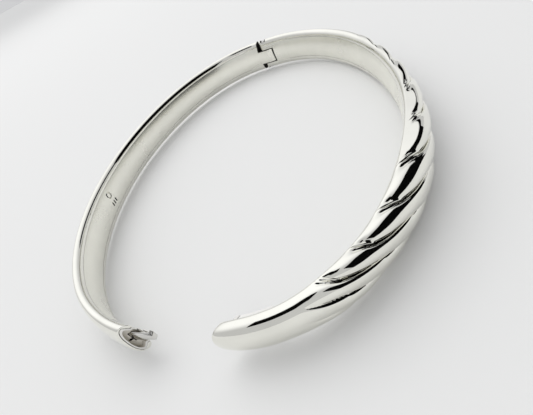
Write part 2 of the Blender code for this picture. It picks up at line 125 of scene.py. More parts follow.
# Hinge. The tab's relief has a shoulder that leans, so that no light shows through the gap.
PIVOT_OUTWARD = 0.0005
KNUCKLE_RADIUS = 0.0009
KNUCKLE_END = math.radians(84)
PIN_RADIUS = 0.0004
PIN_CLEARANCE = 0.00003
PIN_HALF_LENGTH = 0.0027
PIN_HEAD_RADIUS = 0.00055
PIN_RECESS = 0.00018
TAB_BOTTOM = -0.00155
TAB_TOP = 0.00095
HINGE_SIDE_CLEARANCE = 0.00018
SHOULDER = 0.0019
SHOULDER_LEAN = 0.55
NOTCH_END = 0.0016
TAB_REACH = 0.0014
BLOCK_END = 0.0044
SEAM = 0.000006

# Clasp. The halves meet on a slant, the plain half reaching further on its inner side. The slant is whole
# within SLANT_START of the clasp and gone at SLANT_REACH from it.
END_SLANT = 0.0012
SLANT_START = 0.0005
SLANT_REACH = 0.0060
END_RECESS = 0.0005
PLUG_LENGTH = 0.0026
PLUG_POCKET_SCALE = 0.84
TONGUE_OUTWARD = 0.00025
TONGUE_REACH = 0.0020
TONGUE_ROOT = 0.0013
TONGUE_HALF_WIDTH = 0.0007
TONGUE_HALF_THICKNESS = 0.00014
TONGUE_END_SCALE = 0.55
FOLD_LENGTH = 0.00035
FOLD_TOP = 0.0004
LEAF_LENGTH = 0.00095
LEAF_THICKNESS = 0.00016
LEAF_HALF_WIDTH = 0.00045
LEAF_LOW = 0.00022
LEAF_RISE = 0.00020
VENT_OUTWARD = 0.00066
VENT_HEIGHT = -0.00020
VENT_RADIUS = 0.00016
SOCKET_LENGTH = 0.0046

# A plain mark stamped inside the plain half.
STAMP_PLACE = 0.04775
STAMP_DEPTH = 0.00018
STAMP_RING_HEIGHT = 0.0008
STAMP_RING_OUTER = 0.00058
STAMP_RING_INNER = 0.00036
STAMP_DISC_HALF_LENGTH = 0.0004
STAMP_BARS_TOP = -0.0003
STAMP_BARS_BOTTOM = -0.0010
STAMP_BAR_PLACES = (-0.0006, 0.0, 0.0006)
STAMP_BAR_HALF_WIDTH = 0.00013

# Polished edges: how wide they are rounded, and how sharp an edge is before it counts as one.
SHELL_RIM_ROUNDING = 0.00006
TAB_ROUNDING = 0.00005
FORK_ROUNDING = 0.00012
PIN_ROUNDING = 0.00015
TONGUE_ROUNDING = 0.00009
LEAF_ROUNDING = 0.00004
PLUG_ROUNDING = 0.00003
ROUNDING_STEPS = 3
EDGE_ANGLE = math.radians(40.0)
BLOCK_EDGE_ANGLE = math.radians(50.0)
SHADING_EDGE_ANGLE = math.radians(80.0)
PLATE_SHADING_EDGE_ANGLE = math.radians(40.0)

# Mesh fineness.
LIP_STEPS = 10
CROWN_STEPS = 96
INNER_STEPS = 24
PLATE_STEPS = 24
TIP_STEPS = 24
KNUCKLE_STEPS = 16
BLOCK_STEPS = 24
PLUG_STEPS = 24
CUTTER_STEPS = 12
ROD_SIDES = 48
STATION_SPACING = 0.0003

# The twisted shell's rings go straight round at both ends and lean with the grooves between RING_FULL_START
# and RING_FULL_END. Where they lean by more than the share RIDGE_BLEND, they also keep to the ridges' edges.
RINGS_PER_GROOVE = 30
RING_MARGIN = 0.00005
RING_FULL_START = 0.0298
RING_FULL_END = 0.0610
RIDGE_BLEND = 0.99

# A face of a hinge block is satin if it looks towards the wrist, and gets near-black painted shade if it
# looks along the band into the gap at the block's hidden end, by at least these cosines.
SATIN_FACING = 0.45
SHADE_PAINT_FACING = 0.8

# The window in the surround: its direction, the cosines between which the surround brightens towards it,
# and the strength away from it and in it.
WINDOW_DIRECTION = (0.32, 0.38, 0.87)
WINDOW_EDGE = (0.40, 0.97)
SURROUND_STRENGTHS = (0.60, 1.15)
CARD_SHADE = 0.003

# The camera, fitted to the bangle's outline in the photo, on the axes of the closed bangle.
CAMERA_LENS = 25.09
CAMERA_SENSOR = 36.0
CAMERA_PLACE = (-0.043511, -0.02504, 0.027138)
CAMERA_RIGHT = (0.1515, -0.9129, -0.3790)
CAMERA_DOWN = (-0.7229, 0.1592, -0.6724)
CAMERA_FORWARD = (0.6742, 0.3759, -0.6358)


# The oval and places on it.

def smooth_step(value, start, end):
    """0 before start, 1 after end and a smooth rise between them."""
    share = np.clip((value - start) / (end - start), 0.0, 1.0)
    return share * share * (3.0 - 2.0 * share)


def oval_points(angle):
    """Points on the oval's inner line, from its angles about the centre."""
    across = OVAL_HALF_LENGTH * np.cos(angle) + OVAL_END_FULLNESS * np.cos(3 * angle)
    along = OVAL_HALF_BREADTH * np.sin(angle) + OVAL_SIDE_FLATNESS * np.sin(3 * angle)
    return np.stack([across, along], axis=-1)


# The oval walked once round and a little further, as angles and the distances that belong to them.
ROUTE_ANGLES = np.linspace(CLASP_ANGLE - 2 * math.pi - ROUTE_MARGIN, CLASP_ANGLE + ROUTE_MARGIN,
                           ROUTE_COUNT)
ROUTE_STEPS = np.linalg.norm(np.diff(oval_points(ROUTE_ANGLES), axis=0), axis=1)
ROUTE_LENGTHS = np.concatenate([[0.0], np.cumsum(ROUTE_STEPS)])
ROUTE_LENGTHS -= np.interp(HINGE_ANGLE, ROUTE_ANGLES, ROUTE_LENGTHS)
PLAIN_LENGTH = float(np.interp(CLASP_ANGLE, ROUTE_ANGLES, ROUTE_LENGTHS))
TWIST_LENGTH = -float(np.interp(CLASP_ANGLE - 2 * math.pi, ROUTE_ANGLES, ROUTE_LENGTHS)) - CLASP_GAP


def end_shift(distances, outward):
    """How far places near the clasp move along the band, so that the halves meet on a slant."""
    from_clasp = np.abs(np.where(distances > 0.0, PLAIN_LENGTH - distances, TWIST_LENGTH + distances))
    fade = 1.0 - smooth_step(from_clasp, SLANT_START, SLANT_REACH)
    return END_SLANT * fade * (0.5 - outward / PLAIN_THICKNESS)


def band_points(distances, outward, height):
    """Places in the closed bangle, one row a ring. distances may also be one value a ring."""
    distances = distances.reshape(len(distances), -1)
    along = distances + end_shift(distances, outward)
    angles = np.interp(along, ROUTE_LENGTHS, ROUTE_ANGLES)
    tangents = oval_points(angles + TANGENT_STEP) - oval_points(angles - TANGENT_STEP)
    tangents /= np.linalg.norm(tangents, axis=-1, keepdims=True)
    normals = np.stack([tangents[..., 1], -tangents[..., 0]], axis=-1)
    flat = oval_points(angles) + normals * outward[..., None]
    return np.concatenate([flat, height[..., None]], axis=-1)


def band_point(distance, outward, height):
    """One place in the closed bangle."""
    rings = band_points(np.array([distance]), np.array([[outward]]), np.array([[height]]))
    return Vector(rings[0, 0])


PIVOT = band_point(0.0, PIVOT_OUTWARD, 0.0)
CLASP_POINT = band_point(PLAIN_LENGTH, TONGUE_OUTWARD, 0.0)
TONGUE_SIDE = (CLASP_POINT - PIVOT).normalized()
TONGUE_DIRECTION = Vector((-TONGUE_SIDE.y, TONGUE_SIDE.x, 0.0))

HINGE_JOINT = next(joint for joint in frame["joints"] if joint["name"] == "bangle_hinge")
PLAIN_PLACE = Matrix.Translation(Vector(HINGE_JOINT["pos_m"]) - PIVOT)
SWING = Matrix.Translation(PIVOT) @ Matrix.Rotation(OPEN_ANGLE, 4, "Z") @ Matrix.Translation(-PIVOT)
TWIST_PLACE = PLAIN_PLACE @ SWING


def clasp_point(along, outward, height):
    """A place on the clasp's own axes: along the tongue from the end of the plain half."""
    return CLASP_POINT + TONGUE_DIRECTION * along + TONGUE_SIDE * outward + Vector((0.0, 0.0, height))


# Sizes that change along the halves.

def plain_widths(distances):
    """Widths of the plain half as a column; it narrows towards the clasp."""
    narrow = smooth_step(distances, PLAIN_LENGTH - PLAIN_TAPER, PLAIN_LENGTH)[:, None]
    return PLAIN_WIDTH + (PLAIN_END_WIDTH - PLAIN_WIDTH) * narrow


def profile_values(shares, values):
    """A smooth curve through a size given at TWIST_SHARES."""
    total = np.full_like(shares, values[0])
    for piece in range(len(TWIST_SHARES) - 1):
        rise = smooth_step(shares, TWIST_SHARES[piece], TWIST_SHARES[piece + 1])
        total += (values[piece + 1] - values[piece]) * rise
    return total


def tip_scales(distances):
    """What is left of the width and the thickness where the tip rounds over."""
    into_tip = np.clip((distances - TWIST_LENGTH + TIP_ROUNDING) / TIP_ROUNDING, 0.0, 1.0)
    turned = 1.0 - np.sqrt(1.0 - into_tip ** 2)
    return 1.0 - (1.0 - TIP_END_WIDTH_SCALE) * turned, 1.0 - (1.0 - TIP_END_THICKNESS_SCALE) * turned


def ridge_half(turns):
    """Half the ridge's width, as a share of a pitch."""
    return RIDGE_LEAST + (RIDGE_SHARE - RIDGE_LEAST) * (1.0 - smooth_step(turns, LIP_TURN, RIDGE_END))


def groove_fade(distances):
    """1 where the grooves have their full depth, 0 where the band is smooth."""
    shares = distances / TWIST_LENGTH
    return smooth_step(shares, *GROOVE_FADE_IN) * (1.0 - smooth_step(shares, *GROOVE_FADE_OUT))


def fall_back(turns):
    """How many pitches a groove has fallen back towards the hinge at each turn."""
    return GROOVE_TURN * turns + GROOVE_LEAN * smooth_step(turns, *GROOVE_LEANING)


def groove_cut(distances, turns):
    """Depth of the twist below the smooth surface; turns run 0 to 1 over the outside, top to bottom."""
    edge = smooth_step(np.minimum(turns, 1.0 - turns), *GROOVE_EDGE)
    phase = np.interp(distances, LONG_PLACES, LONG_PHASES) + fall_back(turns)
    from_valley = np.abs(phase - np.round(phase))
    lobe = np.sqrt(np.clip(1.0 - (1.0 - 2.0 * from_valley) ** LOBE_POWER, 0.0, 1.0))
    half = ridge_half(turns)
    on_ridge = np.clip(1.0 - from_valley / half, 0.0, 1.0)
    height = RIDGE_HEIGHT * (half - RIDGE_LEAST) / (RIDGE_SHARE - RIDGE_LEAST)
    ridge = height * np.sin(on_ridge * math.pi / 2)
    depth = GROOVE_DEPTH * (1.0 - GROOVE_SHALLOW * smooth_step(turns, *SHALLOWING))
    return groove_fade(distances) * edge * np.maximum(depth * (1.0 - lobe) - ridge, 0.0)


def twist_rings(start, end, turns):
    """Distances of the twisted half's rings at each turn, so that the rings run along the grooves."""
    shares = 0.5 - 0.5 * np.cos(np.linspace(0.0, math.pi, RINGS_PER_GROOVE, endpoint=False))
    phases = (np.arange(LONG_PHASES[0], LONG_PHASES[-1])[:, None] + shares).ravel()
    straight = np.interp(phases - float(fall_back(1.0)) / 2, LONG_PHASES, LONG_PLACES)
    keep = (straight > start + RING_MARGIN) & (straight < end - RING_MARGIN)
    phases = phases[keep][:, None]
    straight = straight[keep][:, None]
    blend = smooth_step(straight, start, RING_FULL_START)
    blend *= 1.0 - smooth_step(straight, RING_FULL_END, end)

    half = RIDGE_SHARE + (ridge_half(turns) - RIDGE_SHARE) * smooth_step(blend, RIDGE_BLEND, 1.0)
    offset = phases - np.round(phases)
    outer = half + (np.abs(offset) - RIDGE_SHARE) * (0.5 - half) / (0.5 - RIDGE_SHARE)
    offset = np.where(np.abs(offset) < RIDGE_SHARE, offset * half / RIDGE_SHARE, np.sign(offset) * outer)
    along = np.interp(np.round(phases) + offset - fall_back(turns), LONG_PHASES, LONG_PLACES)
    middle = straight + blend * (along - straight)
    first = np.full((1, turns.shape[1]), start)
    return np.concatenate([first, middle, first - start + end])


# Cross-sections. Each returns (outward, height) arrays with one row a ring.

def crown_curve(half_width, thickness, lip_depth, steps=CROWN_STEPS):
    """The domed outside from the upper side to the lower side."""
    angle = np.linspace(0.0, math.pi, steps + 1)
    rise = np.abs(np.sin(angle)) ** (2 / CROWN_POWER)
    reach = np.sign(np.cos(angle)) * np.abs(np.cos(angle)) ** (2 / CROWN_POWER)
    return lip_depth + (thickness - lip_depth) * rise, half_width * reach


def outside(width, thickness):
    """The outer outline from the upper lip over the crown to the lower lip."""
    count = 2 * LIP_STEPS + CROWN_STEPS + 1
    width = np.broadcast_to(width, (len(width), count))
    thickness = np.broadcast_to(thickness, (len(width), count))
    lip_depth = LIP_DEPTH_SHARE * width
    edge = PLATE_SHARE * width / 2 + GAP
    angle = np.linspace(0.0, math.pi / 2, LIP_STEPS, endpoint=False)
    angle = np.concatenate([angle, np.full(CROWN_STEPS + 1, math.pi / 2), angle[::-1]])
    side = np.where(np.arange(count) < count / 2, 1.0, -1.0)
    lip_outward = lip_depth * (1.0 - np.cos(angle))
    lip_height = side * (edge + (width / 2 - edge) * np.sin(angle))
    middle = slice(LIP_STEPS, LIP_STEPS + CROWN_STEPS + 1)
    crown = crown_curve(width[:, middle] / 2, thickness[:, middle], lip_depth[:, middle])
    lip_outward[:, middle] = crown[0]
    lip_height[:, middle] = crown[1]
    return lip_outward, lip_height


def inside(width, thickness, upper_edge, lower_edge):
    """The inner wall of the shell from the lower lip's edge back to the upper one's."""
    lip_depth = LIP_DEPTH_SHARE * width
    wall = crown_curve(width / 2 - WALL, thickness - WALL, lip_depth + WALL / 3, INNER_STEPS)
    face = np.full_like(upper_edge, WALL)
    outward = np.concatenate([face, wall[0][:, ::-1], face], axis=1)
    height = np.concatenate([lower_edge, wall[1][:, ::-1], upper_edge], axis=1)
    return outward, height


def column(value, count):
    """A single size as a column with one row a ring."""
    return np.full((count, 1), value)


def outside_turns():
    """How far round the outside each point of the outer outline lies, from 0 to 1."""
    lip = LIP_TURN * np.arange(LIP_STEPS) / LIP_STEPS
    crown = np.linspace(LIP_TURN, 1.0 - LIP_TURN, CROWN_STEPS + 1)
    return np.concatenate([lip, crown, 1.0 - lip[::-1]])[None, :]


def loop_turns():
    """The same for a whole loop of the shell, whose inner wall runs back from 1 to 0."""
    inner = np.linspace(1.0 - LIP_TURN, LIP_TURN, INNER_STEPS + 1)[None, :]
    return np.concatenate([outside_turns(), [[1.0]], inner, [[0.0]]], axis=1)


def plain_shell_section(distances):
    """The plain half's U-shaped wall."""
    width = plain_widths(distances)
    thickness = column(PLAIN_THICKNESS, len(distances))
    outward, height = outside(width, thickness)
    wall = inside(width, thickness, height[:, :1], height[:, -1:])
    return np.concatenate([outward, wall[0]], axis=1), np.concatenate([height, wall[1]], axis=1)


def twist_sizes(lengths):
    """Width and thickness of the twisted half at distances from the hinge."""
    width_scale, thickness_scale = tip_scales(lengths)
    shares = lengths / TWIST_LENGTH
    return (profile_values(shares, TWIST_WIDTHS) * width_scale,
            profile_values(shares, TWIST_THICKNESSES) * thickness_scale)


def twist_shell_section(lengths):
    """The twisted half's U-shaped wall, with its grooves, flat sides and rounded tip."""
    turns = outside_turns()
    count = turns.shape[1]
    width, thickness = twist_sizes(lengths[:, :count])
    outward, height = outside(width, thickness)
    middle = thickness / 3
    keep = 1.0 - groove_cut(lengths[:, :count], turns) / np.hypot(outward - middle, height)
    outward = middle + (outward - middle) * keep
    height = np.clip(height * keep, -SIDE_FLAT_HEIGHT, SIDE_FLAT_HEIGHT)
    inner_lengths = lengths[:, count + 1:-1][:, ::-1]
    width, thickness = twist_sizes(inner_lengths)
    spare = GROOVE_DEPTH * groove_fade(inner_lengths)
    wall = inside(width - 2 * spare, thickness - spare, height[:, :1], height[:, -1:])
    return np.concatenate([outward, wall[0]], axis=1), np.concatenate([height, wall[1]], axis=1)


def plate_section(width):
    """The inner plate: a bulging face towards the wrist and a flat back."""
    share = np.linspace(1.0, -1.0, PLATE_STEPS + 1)[None, :]
    half = PLATE_SHARE * width / 2
    face = np.broadcast_to(-PLATE_BULGE * (1.0 - share ** 2), (len(width), PLATE_STEPS + 1))
    back = column(PLATE_BACK, len(width))
    height = np.concatenate([half * share, -half, half], axis=1)
    return np.concatenate([face, back, back], axis=1), height


def plug_section(distances, scale):
    """The outline that fills the plain shell's open side, scaled about its middle."""
    width = plain_widths(distances) - 2 * GAP
    thickness = column(PLAIN_THICKNESS - GAP, len(distances))
    edge = PLATE_SHARE * width / 2
    wall = inside(width, thickness, edge, -edge)
    share = np.linspace(1.0, -1.0, PLATE_STEPS + 1)[None, :]
    face = np.broadcast_to(-PLATE_BULGE * (1.0 - share ** 2), (len(distances), PLATE_STEPS + 1))
    outward = np.concatenate([face, wall[0]], axis=1)
    height = np.concatenate([edge * share, wall[1]], axis=1)
    middle = PLAIN_THICKNESS / 3
    return middle + (outward - middle) * scale, height * scale


def solid_section(count):
    """The plain band's whole outline, for the solid end blocks of the hinge."""
    outward, height = outside(column(PLAIN_WIDTH, count), column(PLAIN_THICKNESS, count))
    share = np.linspace(-1.0, 1.0, PLATE_STEPS + 1)[None, 1:-1]
    face = np.broadcast_to(-PLATE_BULGE * (1.0 - share ** 2), (count, PLATE_STEPS - 1))
    outward = np.concatenate([outward, face], axis=1)
    return outward, np.concatenate([height, height[:, :1] * share], axis=1)


# Meshes.

def add_piece(name, points, faces, place):
    """A mesh object whose points are places in the closed bangle, put where its half stands."""
    mesh = bpy.data.meshes.new(name)
    mesh.from_pydata([tuple(point) for point in points], [], faces)
    mesh.transform(place)
    shape = bmesh.new()
    shape.from_mesh(mesh)
    bmesh.ops.recalc_face_normals(shape, faces=shape.faces)
    shape.to_mesh(mesh)
    shape.free()
    mesh.shade_smooth()
    piece = bpy.data.objects.new(name, mesh)
    bpy.context.collection.objects.link(piece)
    return piece


def add_skin(name, rings, place):
    """A closed body from a row of loops with the same number of points."""
    ring_count, count = rings.shape[:2]
    first = np.arange(count)
    after = (first + 1) % count
    low = np.arange(ring_count - 1)[:, None] * count
    sides = np.stack([low + first, low + after, low + count + after, low + count + first], axis=-1)
    faces = sides.reshape(-1, 4).tolist()
    faces.append(list(range(count)))
    faces.append(list(range((ring_count - 1) * count, ring_count * count)))
    return add_piece(name, rings.reshape(-1, 3), faces, place)


def add_swept(name, distances, section, place):
    """A body swept along the band from its rings' distances and its cross-section."""
    return add_skin(name, band_points(distances, *section), place)


def add_prism(name, outline, low, high, place, end_scale=1.0):
    """An outline on the clasp's (along, outward) axes, raised from one height to another.

    The height shrinks to end_scale at the points that lie furthest along.
    """
    furthest = max(along for along, _outward in outline)
    scales = [end_scale if along == furthest else 1.0 for along, _outward in outline]
    rings = [[clasp_point(*point, height * scale) for point, scale in zip(outline, scales)]
             for height in (low, high)]
    return add_skin(name, np.array(rings), place)


def add_rod(name, centre, axis, radius, half_length, place):
    """A round bar about an axis."""
    side = axis.orthogonal().normalized()
    other = axis.cross(side)
    rings = []
    for end in (-half_length, half_length):
        middle = centre + axis * end
        rings.append([middle + side * radius * math.cos(turn) + other * radius * math.sin(turn)
                      for turn in np.linspace(0.0, 2 * math.pi, ROD_SIDES, endpoint=False)])
    return add_skin(name, np.array(rings), place)


def cut(piece, lining, *cutters):
    """Takes the cutters' shapes out of the piece, lines the cuts and removes the cutters."""
    for cutter in cutters:
        cutter.data.materials.append(lining)
        boolean = piece.modifiers.new("cut", "BOOLEAN")
        boolean.operation = "DIFFERENCE"
        boolean.solver = "EXACT"
        boolean.material_mode = "TRANSFER"
        boolean.object = cutter
    graph = bpy.context.evaluated_depsgraph_get()
    mesh = bpy.data.meshes.new_from_object(piece.evaluated_get(graph))
    piece.modifiers.clear()
    piece.data = mesh
    for cutter in cutters:
        bpy.data.objects.remove(cutter, do_unlink=True)


def soften_end(piece, ring_size, width):
    """Rounds only the edges of a swept body's last ring."""
    mesh = piece.data
    first = len(mesh.vertices) - ring_size
    weights = mesh.attributes.new("bevel_weight_edge", "FLOAT", "EDGE")
    for edge in mesh.edges:
        weights.data[edge.index].value = float(min(edge.vertices) >= first)
    bevel = piece.modifiers.new("polished rim", "BEVEL")
    bevel.width = width
    bevel.segments = ROUNDING_STEPS
    bevel.limit_method = "WEIGHT"
    mesh.set_sharp_from_angle(angle=SHADING_EDGE_ANGLE)


def soften_edges(piece, width, angle=EDGE_ANGLE):
    """Rounds the sharp edges a little, as polishing does."""
    bevel = piece.modifiers.new("polished edges", "BEVEL")
    bevel.width = width
    bevel.segments = ROUNDING_STEPS
    bevel.limit_method = "ANGLE"
    bevel.angle_limit = angle
    piece.data.set_sharp_from_angle(angle=SHADING_EDGE_ANGLE)


def stations(start, end):
    """Evenly spaced distances along the band."""
    count = max(2, int(abs(end - start) / STATION_SPACING) + 1)
    return np.linspace(start, end, count)


# Materials.

def polished_metal(name, colour, roughness, smear, scratch, metallic=1.0):
    """Silvery metal with faint handling smears and fine polishing scratches."""
    material = bpy.data.materials.new(name)
    material.use_nodes = True
    nodes = material.node_tree.nodes
    links = material.node_tree.links
    shader = nodes["Principled BSDF"]
    shader.inputs["Metallic"].default_value = metallic
    place = nodes.new("ShaderNodeTexCoord")

    cloud = nodes.new("ShaderNodeTexNoise")
    cloud.inputs["Scale"].default_value = 260.0
    cloud.inputs["Detail"].default_value = 6.0
    links.new(place.outputs["Object"], cloud.inputs["Vector"])
    spread = nodes.new("ShaderNodeMapRange")
    spread.inputs["From Min"].default_value = 0.35
    spread.inputs["From Max"].default_value = 0.70
    spread.inputs["To Min"].default_value = roughness
    spread.inputs["To Max"].default_value = roughness + smear
    links.new(cloud.outputs["Fac"], spread.inputs["Value"])
    links.new(spread.outputs["Result"], shader.inputs["Roughness"])

    tone = nodes.new("ShaderNodeValToRGB")
    tone.color_ramp.elements[0].position = 0.3
    tone.color_ramp.elements[0].color = (*[0.93 * part for part in colour], 1.0)
    tone.color_ramp.elements[1].position = 0.7
    tone.color_ramp.elements[1].color = (*colour, 1.0)
    links.new(cloud.outputs["Fac"], tone.inputs["Fac"])
    links.new(tone.outputs["Color"], shader.inputs["Base Color"])

    stretch = nodes.new("ShaderNodeMapping")
    stretch.inputs["Scale"].default_value = (1.0, 1.0, 14.0)
    stretch.inputs["Rotation"].default_value = (0.5, 0.3, 0.0)
    links.new(place.outputs["Object"], stretch.inputs["Vector"])
    scratches = nodes.new("ShaderNodeTexNoise")
    scratches.inputs["Scale"].default_value = 900.0
    scratches.inputs["Detail"].default_value = 3.0
    links.new(stretch.outputs["Vector"], scratches.inputs["Vector"])
    bump = nodes.new("ShaderNodeBump")
    bump.inputs["Strength"].default_value = scratch
    bump.inputs["Distance"].default_value = 0.00001
    links.new(scratches.outputs["Fac"], bump.inputs["Height"])
    links.new(bump.outputs["Normal"], shader.inputs["Normal"])
    return material


# Each metal's colour, roughness, smear, scratch strength and, where it isn't a bare metal, metallic share.
SHELL_METAL = polished_metal("polished_shell", (0.90, 0.893, 0.83), 0.025, 0.03, 0.03)
TWIST_METAL = polished_metal("polished_twist_shell", (0.91, 0.903, 0.84), 0.02, 0.025, 0.03)
PLATE_METAL = polished_metal("satin_inner_plate", (0.95, 0.943, 0.865), 0.27, 0.06, 0.12)
HINGE_METAL = polished_metal("hinge_fittings", (0.90, 0.893, 0.83), 0.03, 0.03, 0.04)
CLASP_METAL = polished_metal("clasp_fittings", (0.80, 0.79, 0.76), 0.10, 0.12, 0.3)
RECESS_METAL = polished_metal("unpolished_recess", (0.70, 0.67, 0.60), 0.45, 0.15, 0.6, 0.3)
# Painted shade: a near-black metal that lines the hinge gaps, the bores, the vent and the stamp, in place of
# the shade inside them.
PAINTED_SHADE_METAL = polished_metal("painted_gap_shade", (0.03, 0.027, 0.024), 0.5, 0.15, 0.5)
SPRING_METAL = polished_metal("spring_steel", (0.74, 0.73, 0.70), 0.12, 0.08, 0.2)
PIN_METAL = polished_metal("pin_steel", (0.72, 0.71, 0.69), 0.12, 0.1, 0.2)


def settle(piece, material, body, slot, *nodes):
    """Gives a piece its material and the body it moves with, and hides the frame nodes it stands for; slot
    is not used.
    """
    piece.data.materials.clear()
    piece.data.materials.append(material)
    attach(piece, body)
    if nodes:
        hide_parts(*nodes)


# The band.

def add_band():
    """The two shells and the two inner plates."""
    start = BLOCK_END + SEAM
    distances = stations(start, PLAIN_LENGTH)
    section = plain_shell_section(distances)
    plain_shell = add_swept("plain_shell_skin", distances, section, PLAIN_PLACE)
    soften_end(plain_shell, section[0].shape[1], SHELL_RIM_ROUNDING)
    settle(plain_shell, SHELL_METAL, "plain_half", "polished_shell", "plain_outer_shell")

    distances = stations(start, PLAIN_LENGTH - END_RECESS - PLUG_LENGTH - GAP)
    section = plate_section(plain_widths(distances))
    plain_plate = add_swept("plain_plate_skin", distances, section, PLAIN_PLACE)
    settle(plain_plate, PLATE_METAL, "plain_half", "satin_inner_plate", "plain_inner_plate")
    # The stamp's sunk faces take the near-black painted shade.
    cut(plain_plate, PAINTED_SHADE_METAL, *add_stamp_cutters())
    plain_plate.data.set_sharp_from_angle(angle=PLATE_SHADING_EDGE_ANGLE)

    tip_start = TWIST_LENGTH - TIP_ROUNDING
    tip_turns = np.linspace(0.0, math.pi / 2, TIP_STEPS + 1)[1:, None]
    turns = loop_turns()
    tip = tip_start + TIP_ROUNDING * np.sin(tip_turns)
    tip = np.broadcast_to(tip, (TIP_STEPS, turns.shape[1]))
    lengths = np.concatenate([twist_rings(start, tip_start, turns), tip])
    section = twist_shell_section(lengths)
    twist_shell = add_swept("twisted_shell_skin", -lengths, section, TWIST_PLACE)
    soften_end(twist_shell, section[0].shape[1], SHELL_RIM_ROUNDING)
    settle(twist_shell, TWIST_METAL, "twisted_half", "polished_twist_shell", "twisted_outer_shell")

    distances = -stations(start, TWIST_LENGTH - END_RECESS - SOCKET_LENGTH - GAP)
    section = plate_section(profile_values(-distances[:, None] / TWIST_LENGTH, TWIST_WIDTHS))
    twist_plate = add_swept("twisted_plate_skin", distances, section, TWIST_PLACE)
    twist_plate.data.set_sharp_from_angle(angle=PLATE_SHADING_EDGE_ANGLE)
    settle(twist_plate, PLATE_METAL, "twisted_half", "satin_inner_plate", "twisted_inner_plate")


def add_stamp_cutters():
    """A plain stamped mark inside the plain half: a small ring with three short bars below it."""
    sunk = STAMP_DEPTH - 0.75 * PLATE_BULGE
    clear = -4 * PLATE_BULGE
    ring = stamp_disc(STAMP_RING_OUTER, sunk)
    # The ring's inner wall also takes the painted shade.
    cut(ring, PAINTED_SHADE_METAL, stamp_disc(STAMP_RING_INNER, PLATE_BACK))
    bars = []
    for place in STAMP_BAR_PLACES:
        middle = STAMP_PLACE + place
        distances = np.linspace(middle - STAMP_BAR_HALF_WIDTH, middle + STAMP_BAR_HALF_WIDTH, 3)
        outward = np.tile([clear, sunk, sunk, clear], (3, 1))
        height = np.tile([STAMP_BARS_TOP, STAMP_BARS_TOP, STAMP_BARS_BOTTOM, STAMP_BARS_BOTTOM], (3, 1))
        bars.append(add_swept("stamp_bar", distances, (outward, height), PLAIN_PLACE))
    return ring, *bars


def stamp_disc(radius, depth):
    """A short rod across the plate whose outer end is at a depth."""
    inwards = band_point(STAMP_PLACE, -1.0, 0.0) - band_point(STAMP_PLACE, 0.0, 0.0)
    centre = band_point(STAMP_PLACE, depth - STAMP_DISC_HALF_LENGTH, STAMP_RING_HEIGHT)
    return add_rod("stamp_disc", centre, inwards.normalized(), radius, STAMP_DISC_HALF_LENGTH, PLAIN_PLACE)


# The hinge.

def add_hinge_block(name, direction, reach, place):
    """A solid block with the band's outline and a rounded end reaching past the pivot."""
    turns = KNUCKLE_END * np.linspace(1.0, 0.0, KNUCKLE_STEPS)
    rounded = -direction * reach * np.sin(turns)
    distances = np.concatenate([rounded, direction * np.linspace(0.0, BLOCK_END, BLOCK_STEPS)[1:]])
    outward, height = solid_section(len(distances))
    past = np.clip(-direction * distances, 0.0, None) / reach
    thin = np.sqrt(1.0 - past ** 2)[:, None]
    outward = PIVOT_OUTWARD + (outward - PIVOT_OUTWARD) * thin
    return add_swept(name, distances, (outward, height), place)


def add_band_box(name, start, end, low, high, place, lean=0.0):
    """A box cutter across the whole band between two distances and two heights.

    With a lean, its far end reaches less far the further out it is.
    """
    reach = 2 * PLAIN_THICKNESS
    inner = np.linspace(start, end + lean * reach, CUTTER_STEPS)
    outer = np.linspace(start, end - lean * reach, CUTTER_STEPS)
    distances = np.stack([inner, outer, outer, inner], axis=1)
    outward = np.tile([-reach, reach, reach, -reach], (len(distances), 1))
    height = np.tile([high, high, low, low], (len(distances), 1))
    return add_swept(name, distances, (outward, height), place)


def finish_faces(piece, direction):
    """Makes a hinge block's side towards the wrist satin like the plates, and paints shade on its hidden end
    in the gap.
    """
    materials = piece.data.materials
    materials.append(PLATE_METAL)
    satin = materials.find(PLATE_METAL.name)
    dark = materials.find(PAINTED_SHADE_METAL.name)
    centre = PLAIN_PLACE.translation
    ahead = Vector((math.sin(HINGE_ANGLE), -math.cos(HINGE_ANGLE), 0.0)) * direction
    for face in piece.data.polygons:
        inwards = (centre - face.center).normalized()
        beside_plate = abs(face.center.z - centre.z) < PLATE_SHARE * PLAIN_WIDTH / 2
        if beside_plate and face.normal.dot(inwards) > SATIN_FACING:
            face.material_index = satin
        # Faces that look along the band into the gap get painted shade.
        elif face.normal.dot(ahead) > SHADE_PAINT_FACING:
            face.material_index = dark


